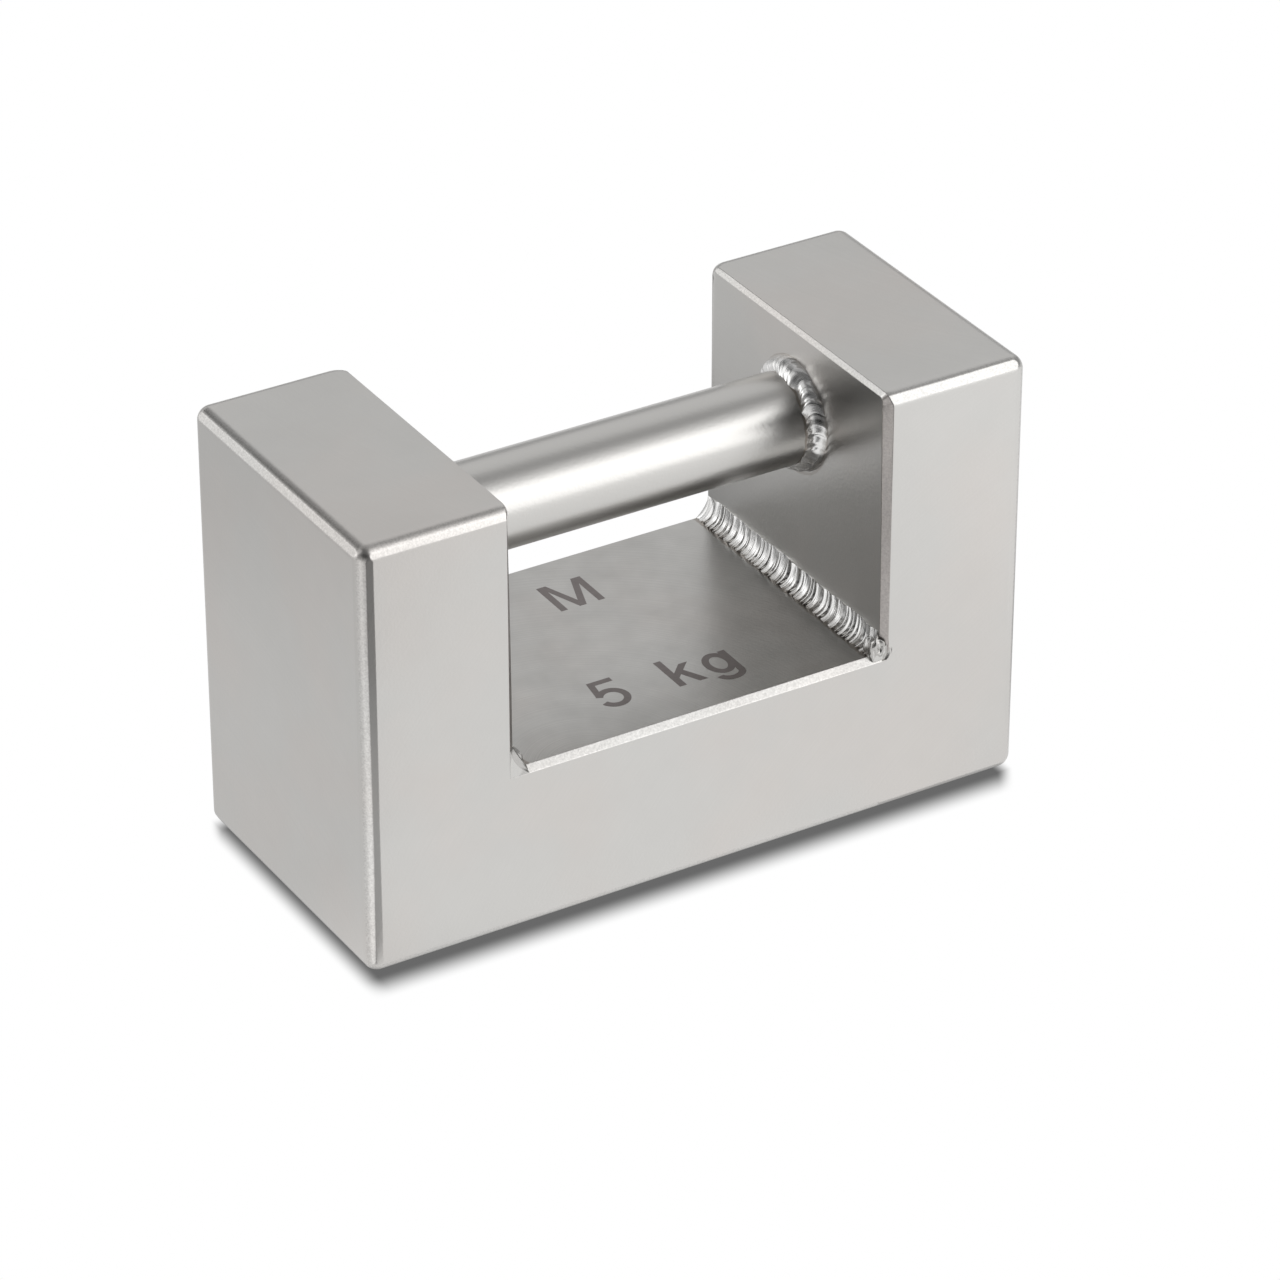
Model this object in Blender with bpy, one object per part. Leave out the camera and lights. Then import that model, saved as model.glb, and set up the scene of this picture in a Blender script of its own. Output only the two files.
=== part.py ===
"""Five kilogram calibration weight, welded from stainless steel.

A base block lies between two upright blocks. A round bar between the uprights is the handle.
A fillet weld runs along each inner corner of the base and around each end of the handle.

Metres, +Z up. The origin is under the middle of the weight, on the face that it stands on.
The handle runs along X and the front is towards -Y.
"""

import math
import random

import bmesh
import bpy
from mathutils import Matrix, Vector

# Overall size
LENGTH = 0.148
WIDTH = 0.0668
HEIGHT = 0.0938

# Blocks
UPRIGHT_THICKNESS = 0.0325
BASE_HEIGHT = 0.0362
OUTER_EDGE_RADIUS = 0.003
INNER_EDGE_CHAMFER = 0.0013

# Handle: its depth is measured from the tops of the uprights down to the bar
HANDLE_DIAMETER = 0.0192
HANDLE_DEPTH = 0.0096

# Welds: a foot is the width of a bead on the base or on the bar, a rise its width on the upright
BASE_WELD_FOOT = 0.0028
BASE_WELD_RISE = 0.0048
HANDLE_WELD_FOOT = 0.0032
HANDLE_WELD_RISE = 0.0030
WELD_CROWN = 0.14
WELD_END_CROWN = -0.20
WELD_END_LENGTH = 0.0035
RIPPLE_PITCH = 0.0021
RIPPLE_HEIGHT = 0.00028
RIPPLE_BOW = 0.0015
WELD_UNEVENNESS = 0.07

# Clearance between pieces that touch
SEAT_GAP = 0.0003

# Smoothness of the round forms
OUTER_EDGE_STEPS = 5
HANDLE_SIDES = 72
STEPS_PER_RIPPLE = 4
WELD_FACE_STEPS = 6
SHARP_ANGLE = math.radians(32)

# Finish: linear colour and roughness
BLOCK_COLOUR = (0.60, 0.59, 0.57)
HANDLE_COLOUR = (0.56, 0.55, 0.53)
WELD_COLOUR = (0.66, 0.66, 0.65)
BLOCK_ROUGHNESS = 0.36
HANDLE_ROUGHNESS = 0.30
WELD_ROUGHNESS = 0.22

# Places worked out from the sizes above
INNER_FACE_X = LENGTH / 2 - UPRIGHT_THICKNESS
SPAN = 2 * (INNER_FACE_X - SEAT_GAP)
HANDLE_RADIUS = HANDLE_DIAMETER / 2
HANDLE_Z = HEIGHT - HANDLE_DEPTH - HANDLE_RADIUS
CHAMFER_FOOT_Z = BASE_HEIGHT - INNER_EDGE_CHAMFER
TOLERANCE = 1e-6


def clear_scene():
    for item in list(bpy.data.objects):
        bpy.data.objects.remove(item, do_unlink=True)


def steel(name, colour, roughness):
    """Bare stainless steel."""
    material = bpy.data.materials.new(name)
    material.use_nodes = True
    shader = material.node_tree.nodes["Principled BSDF"]
    shader.inputs["Base Color"].default_value = (*colour, 1.0)
    shader.inputs["Metallic"].default_value = 1.0
    shader.inputs["Roughness"].default_value = roughness
    return material


def add_piece(name, bm, location, material, parent):
    """Turn a bmesh into a named object under the weight's empty."""
    bmesh.ops.recalc_face_normals(bm, faces=bm.faces)
    mesh = bpy.data.meshes.new(name)
    bm.to_mesh(mesh)
    bm.free()
    mesh.shade_smooth()
    mesh.set_sharp_from_angle(angle=SHARP_ANGLE)
    mesh.materials.append(material)
    piece = bpy.data.objects.new(name, mesh)
    piece.location = location
    piece.parent = parent
    bpy.context.scene.collection.objects.link(piece)
    return piece


def block(length, width, height):
    """A plain block that stands on z = 0."""
    bm = bmesh.new()
    bmesh.ops.create_cube(bm, size=1.0)
    bmesh.ops.scale(bm, vec=(length, width, height), verts=bm.verts)
    bmesh.ops.translate(bm, vec=(0, 0, height / 2), verts=bm.verts)
    return bm


def round_edges(bm, edges, radius):
    bmesh.ops.bevel(
        bm, geom=edges, offset=radius, offset_type="OFFSET", affect="EDGES",
        segments=OUTER_EDGE_STEPS, profile=0.5, clamp_overlap=True,
    )


def chamfer_edges(bm, edges, width):
    bmesh.ops.bevel(
        bm, geom=edges, offset=width, offset_type="OFFSET", affect="EDGES",
        segments=1, profile=0.5, clamp_overlap=True,
    )


def upright_mesh():
    """An upright with its inner face at +X.

    The outer edges are ground round. The edges of the inner face are chamfered from the top down
    to the base block, and stay square below, where the base block meets them flush.
    """
    inner_x = UPRIGHT_THICKNESS / 2
    bm = block(UPRIGHT_THICKNESS, WIDTH, HEIGHT)

    def on_inner_face(edge):
        return all(vert.co.x > inner_x - TOLERANCE for vert in edge.verts)

    round_edges(bm, [edge for edge in bm.edges if not on_inner_face(edge)], OUTER_EDGE_RADIUS)

    bmesh.ops.bisect_plane(
        bm, geom=bm.verts[:] + bm.edges[:] + bm.faces[:],
        plane_co=(0, 0, CHAMFER_FOOT_Z), plane_no=(0, 0, 1),
    )

    def above_base(edge):
        heights = [vert.co.z - CHAMFER_FOOT_Z for vert in edge.verts]
        return min(heights) > -TOLERANCE and max(heights) > TOLERANCE

    rim = [edge for edge in bm.edges if on_inner_face(edge) and above_base(edge)]
    chamfer_edges(bm, rim, INNER_EDGE_CHAMFER)
    return bm


def base_mesh():
    """The base block: rounded along the bottom, chamfered along the top, square at its ends."""
    bm = block(SPAN, WIDTH, BASE_HEIGHT)

    def runs_along_x(edge):
        return abs(edge.verts[0].co.x - edge.verts[1].co.x) > TOLERANCE

    bottom = [edge for edge in bm.edges if runs_along_x(edge) and edge.verts[0].co.z < TOLERANCE]
    round_edges(bm, bottom, OUTER_EDGE_RADIUS)
    top_z = BASE_HEIGHT - TOLERANCE
    top = [edge for edge in bm.edges if runs_along_x(edge) and all(v.co.z > top_z for v in edge.verts)]
    chamfer_edges(bm, top, INNER_EDGE_CHAMFER)
    return bm


def handle_mesh():
    """The round bar, along X."""
    bm = bmesh.new()
    bmesh.ops.create_cone(
        bm, cap_ends=True, segments=HANDLE_SIDES,
        radius1=HANDLE_RADIUS, radius2=HANDLE_RADIUS, depth=SPAN,
        matrix=Matrix.Rotation(math.pi / 2, 4, "Y"),
    )
    return bm


def ripple_lobe(phase):
    """Rise of one ripple over its own length: 0 in the valleys, 1 on the crest."""
    return math.sqrt(max(0.0, 1.0 - (2.0 * (phase % 1.0) - 1.0) ** 2))


def bead_section(foot, rise, crown, swell, fill=0.0):
    """Outline of a fillet bead across its run, as (out, up, share) points.

    out is the distance from the upright and up the distance from the base or the bar. share goes
    from 0 at the toe on the base or the bar to 1 at the toe on the upright. The face bulges by
    crown, as a part of the width, and by swell. The last point is the root, in the corner, and
    fill carries the root and the toes into chamfers on both surfaces.
    """
    points = []
    root = SEAT_GAP - fill
    width = math.hypot(foot, rise)
    for step in range(WELD_FACE_STEPS + 1):
        share = step / WELD_FACE_STEPS
        bulge = (crown * width * math.sqrt(0.5) + swell) * 4.0 * share * (1.0 - share)
        out = root + (foot - root) * (1.0 - share) + bulge * rise / width
        up = root + (rise - root) * share + bulge * foot / width
        points.append((out, up, share))
    points.append((root, root, None))
    return points


def ripple_sizes(count, dice):
    """The size of each ripple against the mean, a little uneven as in a bead laid by hand."""
    return [1.0 + dice.uniform(-WELD_UNEVENNESS, WELD_UNEVENNESS) for _ in range(count)]


def size_at(sizes, position, closed):
    """The size between two ripples, blended so that the toes run on smoothly."""
    count = len(sizes)
    first = int(math.floor(position))
    blend = position - first
    if closed:
        return sizes[first % count] * (1 - blend) + sizes[(first + 1) % count] * blend
    last = count - 1
    return sizes[min(first, last)] * (1 - blend) + sizes[min(first + 1, last)] * blend


def bow_at(share, bow):
    """How far a ripple line runs ahead of its ends, at a share of the way across the bead."""
    if share is None:
        return 0.0
    return bow * 4.0 * share * (1.0 - share)


def skin_rows(bm, rows, closed):
    """Close a tube of equal rows of vertices, into a ring or with two end faces."""
    width = len(rows[0])
    pairs = list(zip(rows, rows[1:]))
    if closed:
        pairs.append((rows[-1], rows[0]))
    for row, after in pairs:
        for i in range(width):
            j = (i + 1) % width
            bm.faces.new((row[i], row[j], after[j], after[i]))
    if not closed:
        bm.faces.new(rows[0])
        bm.faces.new(reversed(rows[-1]))


def base_weld_mesh(side, seed):
    """A bead along Y in the corner between the base and the upright on one side.

    Its ripples bow towards the front. Both ends are ground hollow and flush with the blocks, and
    fill the chamfers there.
    """
    dice = random.Random(seed)
    ground = INNER_EDGE_CHAMFER
    run = WIDTH - 2 * ground
    count = max(3, round(run / RIPPLE_PITCH))
    sizes = ripple_sizes(count, dice)
    last = count * STEPS_PER_RIPPLE
    bm = bmesh.new()

    def row(distance, size, swell, crown, bow, fill):
        """One line of vertices, at a distance from the back face."""
        verts = []
        foot = BASE_WELD_FOOT * size + 0.5 * swell
        rise = BASE_WELD_RISE * size + 0.5 * swell
        for out, up, share in bead_section(foot, rise, crown, swell, fill):
            y = WIDTH / 2 - distance - bow_at(share, bow)
            verts.append(bm.verts.new((-side * out, y, up)))
        return verts

    rows = [row(0.0, sizes[0], 0.0, WELD_END_CROWN, 0.0, ground)]
    for step in range(last + 1):
        phase = step / STEPS_PER_RIPPLE
        along = run * step / last
        fullness = min(1.0, along / WELD_END_LENGTH, (run - along) / WELD_END_LENGTH)
        crown = WELD_END_CROWN + (WELD_CROWN - WELD_END_CROWN) * fullness
        swell = RIPPLE_HEIGHT * fullness * ripple_lobe(phase)
        size = size_at(sizes, phase, closed=False)
        rows.append(row(ground + along, size, swell, crown, RIPPLE_BOW * fullness, 0.0))
    rows.append(row(WIDTH, sizes[-1], 0.0, WELD_END_CROWN, 0.0, ground))
    skin_rows(bm, rows, closed=False)
    return bm


def handle_weld_mesh(side, seed):
    """A bead around the end of the handle, against the upright on one side."""
    dice = random.Random(seed)
    middle_radius = HANDLE_RADIUS + HANDLE_WELD_RISE / 2
    count = max(6, round(2 * math.pi * middle_radius / RIPPLE_PITCH))
    sizes = ripple_sizes(count, dice)
    last = count * STEPS_PER_RIPPLE
    bm = bmesh.new()
    rows = []
    for step in range(last):
        phase = step / STEPS_PER_RIPPLE
        swell = RIPPLE_HEIGHT * ripple_lobe(phase)
        size = size_at(sizes, phase, closed=True)
        foot = HANDLE_WELD_FOOT * size + 0.5 * swell
        rise = HANDLE_WELD_RISE * size + 0.5 * swell
        verts = []
        for out, up, share in bead_section(foot, rise, WELD_CROWN, swell):
            radius = HANDLE_RADIUS + up
            turn = 2 * math.pi * step / last + bow_at(share, RIPPLE_BOW) / middle_radius
            y = -radius * math.sin(turn)
            z = radius * math.cos(turn)
            verts.append(bm.verts.new((-side * out, y, z)))
        rows.append(verts)
    skin_rows(bm, rows, closed=True)
    return bm


def build():
    clear_scene()
    weight = bpy.data.objects.new("calibration_weight", None)
    bpy.context.scene.collection.objects.link(weight)

    base_finish = steel("base_steel", BLOCK_COLOUR, BLOCK_ROUGHNESS)
    add_piece("base_block", base_mesh(), Vector((0, 0, 0)), base_finish, weight)
    handle_finish = steel("handle_steel", HANDLE_COLOUR, HANDLE_ROUGHNESS)
    add_piece("handle_bar", handle_mesh(), Vector((0, 0, HANDLE_Z)), handle_finish, weight)

    for name, side in (("left", -1), ("right", 1)):
        inner_x = side * INNER_FACE_X
        finish = steel(f"{name}_upright_steel", BLOCK_COLOUR, BLOCK_ROUGHNESS)
        middle = Vector((side * (LENGTH - UPRIGHT_THICKNESS) / 2, 0, 0))
        upright = add_piece(f"{name}_upright", upright_mesh(), middle, finish, weight)
        if side > 0:
            upright.rotation_euler = (0, 0, math.pi)

        finish = steel(f"base_weld_{name}_steel", WELD_COLOUR, WELD_ROUGHNESS)
        corner = Vector((inner_x, 0, BASE_HEIGHT))
        add_piece(f"base_weld_{name}", base_weld_mesh(side, 11 + side), corner, finish, weight)

        finish = steel(f"handle_weld_{name}_steel", WELD_COLOUR, WELD_ROUGHNESS)
        end = Vector((inner_x, 0, HANDLE_Z))
        add_piece(f"handle_weld_{name}", handle_weld_mesh(side, 31 + side), end, finish, weight)


build()
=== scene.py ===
"""Looks of a five kilogram calibration weight, welded from ground stainless steel.

Finer meshes with ground, drawn and welded steel finishes stand for the blocks, the handle bar and
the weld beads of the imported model, at the same size. The marks are thin layers on the base.
Metres, +Z up. The handle runs along X and the front is towards -Y.
"""

import math
import random
from collections import namedtuple

import bmesh
import bpy
from mathutils import Matrix, Vector, noise


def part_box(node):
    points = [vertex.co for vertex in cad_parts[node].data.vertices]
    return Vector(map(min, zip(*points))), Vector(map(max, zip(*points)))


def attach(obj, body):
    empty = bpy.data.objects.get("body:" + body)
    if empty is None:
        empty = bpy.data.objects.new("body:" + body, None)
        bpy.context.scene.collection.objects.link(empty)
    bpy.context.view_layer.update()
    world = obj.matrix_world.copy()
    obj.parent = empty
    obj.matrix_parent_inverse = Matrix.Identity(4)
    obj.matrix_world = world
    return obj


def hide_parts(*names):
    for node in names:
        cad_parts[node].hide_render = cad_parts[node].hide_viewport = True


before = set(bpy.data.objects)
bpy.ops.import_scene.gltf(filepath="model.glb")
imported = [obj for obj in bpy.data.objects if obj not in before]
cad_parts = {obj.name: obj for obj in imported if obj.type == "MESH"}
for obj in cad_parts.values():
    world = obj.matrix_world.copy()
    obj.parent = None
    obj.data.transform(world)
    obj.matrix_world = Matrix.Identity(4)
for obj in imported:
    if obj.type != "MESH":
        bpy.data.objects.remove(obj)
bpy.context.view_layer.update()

MM = 0.001

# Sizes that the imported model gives
UPRIGHT_LOW, UPRIGHT_HIGH = (Vector(corner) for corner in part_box("right_upright"))
BASE_LOW, BASE_HIGH = (Vector(corner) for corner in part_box("base_block"))
BAR_LOW, BAR_HIGH = (Vector(corner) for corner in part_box("handle_bar"))
INNER_X = UPRIGHT_LOW.x
HALF_WIDTH = UPRIGHT_HIGH.y
BASE_Z = BASE_HIGH.z
BAR_Z = (BAR_LOW.z + BAR_HIGH.z) / 2
BAR_RADIUS = (BAR_HIGH.z - BAR_LOW.z) / 2
SIDE_NAMES = {-1: "left", 1: "right"}

# Edges sharper than this angle stay sharp in the shading
SHARP_ANGLE = math.radians(30)
WELD_SHARP_ANGLE = math.radians(80)
TOLERANCE = 0.001 * MM
MERGE_DISTANCE = 0.004 * MM

# Edges of the blocks: round, with hand ground facets along them
OUTER_EDGE_RADIUS = 3.0 * MM
OUTER_EDGE_STEPS = 36
# Facets in degrees: how far they turn from the top or from the end, and their half width
LEFT_TOP_FACET = (66, 11.0)
RIGHT_TOP_FACET = (52, 17.0)
END_TOP_FACET = (62, 15.0)
UPRIGHT_FACET = (75, 13.0)
FACET_UNEVENNESS = 2.5
FACET_WAVE = 16 * MM
FACET_SEEDS = {"base": 3.0, "left": 6.0, "right": 16.0}
# A vertex is dressed where it lies at least this share of the edge radius away from the core
DRESSED_SHARE = 0.6
LEAST_FACING = 0.1
# Cuts across the blocks, so that a facet can change along its length
CUT_SPACING = 5.0 * MM
CUT_MARGIN = 4.5 * MM

# Chamfers round the inner faces and along the top of the base, with slightly rounded borders
INNER_EDGE_CHAMFER = 1.3 * MM
CHAMFER_SOFTNESS = 0.14 * MM
CHAMFER_SOFT_STEPS = 3
# Where the rounded border of a chamfer ends, in chamfer widths
CHAMFER_END = 1.0 + CHAMFER_SOFTNESS / INNER_EDGE_CHAMFER
# The chamfer round an inner face is a filed rim. How much deeper than a plain chamfer it goes on
# the inner face, along the top, at the upper corners and at the foot
RIM_TOP_DEPTH = -0.20 * MM
RIM_CORNER_DEPTH = 1.1 * MM
RIM_FOOT_DEPTH = -0.2 * MM
# The share of the chamfer's width that the rim has on the top face
RIM_TOP_NARROWING = 0.52
RIM_FOOT_RISE = 0.1 * MM
# The rear inner corners of the uprights are rounded in plan. The radius grows from nothing at the
# first height above the base to its full size at the second.
REAR_CORNER_RADIUS = 3.3 * MM
REAR_CORNER_GROWTH = (5 * MM, 25 * MM)
# Distances from the corner where the mesh is cut for that, in millimetres
REAR_CORNER_CUTS = (0.35, 0.8, 1.4, 2.1, 2.9, 3.4, 4.0, 4.7, 5.5, 6.4)
# The recess at the foot of the right upright's front rim, for the lump of weld: its width in
# chamfer widths, and its heights above the base in millimetres. Below its middle it is an arc.
LUMP_RECESS_WIDTH = 1.55
LUMP_RECESS_MIDDLE = 0.9
LUMP_RECESS_DROP = 2.35
LUMP_RECESS_FOOT = -1.4
LUMP_RECESS_FADE = 1.3
LUMP_RECESS_CUTS = (-0.8, -0.3, 0.3, 0.9, 1.5, 2.2, 3.0, 3.8)

# Handle bar
BAR_SIDES = 256

# Weld beads: a foot is the width on the base or the bar, a rise the width on the upright
BASE_WELD_FOOT = 2.8 * MM
BASE_WELD_RISE = 4.8 * MM
BASE_WELD_SEED = 11
HANDLE_WELD_FOOT = 3.1 * MM
HANDLE_WELD_RISE = 2.6 * MM
HANDLE_WELD_THIN_RISE = 1.7 * MM
HANDLE_WELD_SEED = 31
# Where the ring bead has its full rise, as an angle from the top of the bar
HANDLE_WELD_THICK_ANGLE = math.radians(15)
# Crowns: how much a bead's face bulges for its width, or is hollow where the value is negative
WELD_CROWN = 0.14
HANDLE_WELD_CROWN = 0.26
WELD_END_CROWN = -0.20
WELD_END_LENGTH = 3.5 * MM
WELD_SINK = 0.12 * MM
WELD_FLUSH_GAP = 0.02 * MM
WELD_STEP = 0.06 * MM
WELD_FACE_STEPS = 32
# How steeply the relief of a bead's face fades out at its toes
TOE_FADE = 3.0

# Ripples: the ranges are shares of the mean length, height and scallop
RIPPLE_PITCH = 1.7 * MM
RIPPLE_LENGTHS = (0.45, 1.6)
RIPPLE_HEIGHTS = (0.25, 1.25)
RIPPLE_SCALLOPS = (0.4, 1.3)
RIPPLE_UNEVENNESS = 0.06
RIPPLE_CREST = 0.80
BASE_RIPPLE_BOW = 1.9 * MM
HANDLE_RIPPLE_BOW = -1.3 * MM
# Smooth noise along a bead: the length that it changes over, its depth and its layer
Waver = namedtuple("Waver", "size depth layer")
RIDGE_DRIFT = Waver(1.1 * MM, 0.6, 3.0)
TOE_ROUGHNESS = Waver(0.45 * MM, 0.16 * MM, 0.0)
TOE_WANDER = Waver(5.5 * MM, 0.45 * MM, 5.0)
# Fine ridges across the ripples, which come in groups
RIDGE_PITCH = 0.34 * MM
RIDGE_GROUP_SIZE = 1.9 * MM
RIDGE_GROUP_ACROSS = 0.8
RIDGE_GROUP_LEVEL = 0.25
RIDGE_GROUP_CONTRAST = 2.0
# Slow swell of a bead's face
SWELL_SIZE = 4.0 * MM
SWELL_ACROSS = 1.4
SWELL_LAYER = 7.0
# Heights of the ripples, the fine ridges and the swell
Finish = namedtuple("Finish", "ripple ridge swell")
BASE_FINISH = Finish(0.058 * MM, 0.0648 * MM, 0.15 * MM)
HANDLE_FINISH = Finish(0.055 * MM, 0.0072 * MM, 0.11 * MM)
# Scallops of the base beads' toes at the ripples
SCALLOP_DEPTH = 0.55 * MM
SCALLOP_POWER = 0.6
SCALLOP_MIDDLE = 0.75
SCALLOP_RISE_SHARE = 0.3
# Toes of the ring beads: how fast they wander round the bar, and how far
RING_WANDER = ((2.4, 0.7 * MM), (9.0, 0.25 * MM))
RING_WANDER_RISE_SHARE = 0.25

# End craters: curled rings to a radius and their height, and the radius and depth of the pit
Crater = namedtuple("Crater", "rings height pit_radius pit_depth")
HANDLE_CRATER = Crater(1.6, 0.055 * MM, 0.45, 0.28 * MM)
END_CRATER = Crater(2.3, 0.10, 0.20, 0.20)

# Where the crater of a ring bead lies: its angle from the top, and its share across the face
HANDLE_CRATER_ANGLE = math.radians(150)
HANDLE_CRATER_SHARE = 0.50
HANDLE_CRATER_RADIUS = 1.5 * MM
HANDLE_CRATER_SHIFT = 0.3
HANDLE_WELD_FACE = 3.6 * MM
# In its radii: where the ripples start again, and where the crater ends
HANDLE_CRATER_CALM = 0.9
HANDLE_CRATER_REACH = 1.6

# The lump that ends the right base bead at the front, in millimetres from the base's corner
END_LUMP_OFFSET = (-0.30, 1.98, 0.6)
END_LUMP_PLACE = Vector((INNER_X, -HALF_WIDTH, BASE_Z)) + Vector(END_LUMP_OFFSET) * MM
END_LUMP_RADII = (2.45, 1.85, 2.95)
END_LUMP_SQUARENESS = 3.2
END_LUMP_SUBDIVISIONS = 6
# Its crater: the way it faces, its stretch across and along, and how its rings curl and waver
END_CRATER_DIRECTION = (-0.08, -0.86, 0.40)
END_CRATER_STRETCH = (1.35, 0.85)
END_CRATER_FADE = 1.6
END_CRATER_CURL = 0.16
END_CRATER_WAVER = 0.25
END_CRATER_WAVER_SCALE = 3.0
# Shares of its radii that the lump is uneven by, and smaller by
END_LUMP_UNEVENNESS = 0.07
END_LUMP_UNEVEN_SCALE = 2.0
END_LUMP_UNEVEN_SHIFT = Vector((4.0, 0.0, 0.0))
END_LUMP_SHRINK = 0.03

# Camera, fitted to the straight edges of the photograph
CAMERA_AZIMUTH = -0.54089
CAMERA_ELEVATION = 0.53808
CAMERA_TARGET = Vector((6.031, 0.0, 33.623)) * MM
CAMERA_DISTANCE = 1183.585 * MM
CAMERA_LENS = 168.049
CAMERA_SENSOR = 36.0
CAMERA_NEAR = 10 * MM


# Mesh helpers

def add_piece(name, bm, material, replaced=(), weighted=False, sharp=SHARP_ANGLE):
    """Turn a bmesh in scene coordinates into a named piece of the weight."""
    bmesh.ops.recalc_face_normals(bm, faces=bm.faces)
    mesh = bpy.data.meshes.new(name)
    bm.to_mesh(mesh)
    bm.free()
    mesh.shade_smooth()
    mesh.set_sharp_from_angle(angle=sharp)
    mesh.materials.append(material)
    piece = bpy.data.objects.new(name, mesh)
    bpy.context.scene.collection.objects.link(piece)
    if weighted:
        normals = piece.modifiers.new("flat_faces", "WEIGHTED_NORMAL")
        normals.keep_sharp = True
    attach(piece, "root")
    if replaced:
        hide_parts(*replaced)


def block(low, high):
    """A plain block between two corners."""
    bm = bmesh.new()
    bmesh.ops.create_cube(bm, size=1.0)
    size = high - low
    for vert in bm.verts:
        vert.co = Vector(low[i] + (vert.co[i] + 0.5) * size[i] for i in range(3))
    return bm


def bevel(bm, edges, width, steps):
    """Round some edges, or chamfer them with one step, and return the new faces."""
    made = bmesh.ops.bevel(
        bm, geom=edges, offset=width, offset_type="OFFSET", affect="EDGES",
        segments=steps, profile=0.5, clamp_overlap=True,
    )
    return made["faces"]


def chamfer_edges(bm, edges, soften):
    """A flat chamfer whose borders are slightly rounded, where soften(edge) allows it."""
    flats = set(bevel(bm, edges, INNER_EDGE_CHAMFER, 1))
    borders = set()
    for face in flats:
        for edge in face.edges:
            outside = [other for other in edge.link_faces if other not in flats]
            if outside and soften(edge):
                borders.add(edge)
    bevel(bm, list(borders), CHAMFER_SOFTNESS, CHAMFER_SOFT_STEPS)


# Blocks

def cut_across(bm, axis, places):
    """Cut the mesh by planes across one axis, so that its edges can be dressed along their length."""
    normal = Vector((0, 0, 0))
    normal[axis] = 1
    for place in places:
        bmesh.ops.bisect_plane(
            bm, geom=bm.verts[:] + bm.edges[:] + bm.faces[:], plane_co=normal * place, plane_no=normal,
        )


def cut_places(low, high):
    count = max(1, round((high - low - 2 * CUT_MARGIN) / CUT_SPACING))
    first = low + CUT_MARGIN
    return [first + (high - low - 2 * CUT_MARGIN) * k / count for k in range(count + 1)]


def dress_edges(bm, core_low, core_high, top_facet, seed):
    """Grind flat facets of uneven width along the rounded edges round a core."""
    for vert in bm.verts:
        away = Vector(
            vert.co[i] - min(max(vert.co[i], core_low[i]), core_high[i]) for i in range(3)
        )
        length = away.length
        if length < DRESSED_SHARE * OUTER_EDGE_RADIUS:
            continue
        x, y, z = (abs(part) / length for part in away)
        uneven = noise.noise(vert.co / FACET_WAVE + Vector((seed, 0.0, 0.0)))
        uneven = math.radians(FACET_UNEVENNESS) * uneven
        shares = [1.0]
        for facet, side, base in ((top_facet, y, z), (END_TOP_FACET, x, z), (UPRIGHT_FACET, y, x)):
            turn, half = (math.radians(part) for part in facet)
            facing = side * math.sin(turn) + base * math.cos(turn)
            shares.append(math.cos(half + uneven) / max(facing, LEAST_FACING))
        vert.co -= away * (1.0 - min(shares))


def base_block(material):
    """The base between the uprights: rounded along the bottom, chamfered along the top."""
    low = Vector((-INNER_X, -HALF_WIDTH, BASE_LOW.z))
    high = Vector((INNER_X, HALF_WIDTH, BASE_Z))
    bm = block(low, high)

    def along_x(edge):
        return abs(edge.verts[0].co.x - edge.verts[1].co.x) > TOLERANCE

    def at_height(edge, z):
        return all(abs(vert.co.z - z) < TOLERANCE for vert in edge.verts)

    bottom = [edge for edge in bm.edges if along_x(edge) and at_height(edge, low.z)]
    bevel(bm, bottom, OUTER_EDGE_RADIUS, OUTER_EDGE_STEPS)
    top = [edge for edge in bm.edges if along_x(edge) and at_height(edge, high.z)]
    chamfer_edges(bm, top, along_x)
    cut_across(bm, 0, cut_places(low.x, high.x))
    core_low = Vector((low.x, low.y + OUTER_EDGE_RADIUS, OUTER_EDGE_RADIUS))
    core_high = Vector((high.x, high.y - OUTER_EDGE_RADIUS, high.z))
    dress_edges(bm, core_low, core_high, LEFT_TOP_FACET, FACET_SEEDS["base"])
    add_piece("ground_base", bm, material, ["base_block"], weighted=True)


def shape_rim(bm, foot_z):
    """Tilt the chamfer round the inner face, and widen it towards the upper corners."""
    reach = INNER_EDGE_CHAMFER + 2 * CHAMFER_SOFTNESS
    radius = OUTER_EDGE_RADIUS
    for vert in bm.verts:
        across = (vert.co.x - INNER_X) / INNER_EDGE_CHAMFER
        if across > CHAMFER_END or vert.co.z < foot_z - TOLERANCE:
            continue
        side = 1.0 if vert.co.y > 0 else -1.0
        from_side = HALF_WIDTH - abs(vert.co.y)
        from_top = UPRIGHT_HIGH.z - vert.co.z
        corner = Vector((max(0.0, radius - from_side), max(0.0, radius - from_top)))
        if from_side < radius and from_top < radius:
            depth = radius - corner.length
            facing = corner.normalized() if corner.length > 0 else Vector((0.0, 1.0))
        elif from_side < from_top:
            depth = from_side
            facing = Vector((1.0, 0.0))
        else:
            depth = from_top
            facing = Vector((0.0, 1.0))
        if depth > reach:
            continue
        top_share = facing.y ** 2
        height = max(0.0, min(1.0, (vert.co.z - foot_z) / (UPRIGHT_HIGH.z - foot_z)))
        side_depth = RIM_FOOT_DEPTH * height + (RIM_CORNER_DEPTH - RIM_FOOT_DEPTH) * height ** 2
        extra = side_depth + (RIM_TOP_DEPTH - side_depth) * top_share
        narrowing = 1.0 + (RIM_TOP_NARROWING - 1.0) * top_share
        inward = extra * max(0.0, 1.0 - across)
        vert.co.y -= side * facing.x * inward
        vert.co.z -= facing.y * inward
        vert.co.x = INNER_X + (vert.co.x - INNER_X) * narrowing


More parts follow.
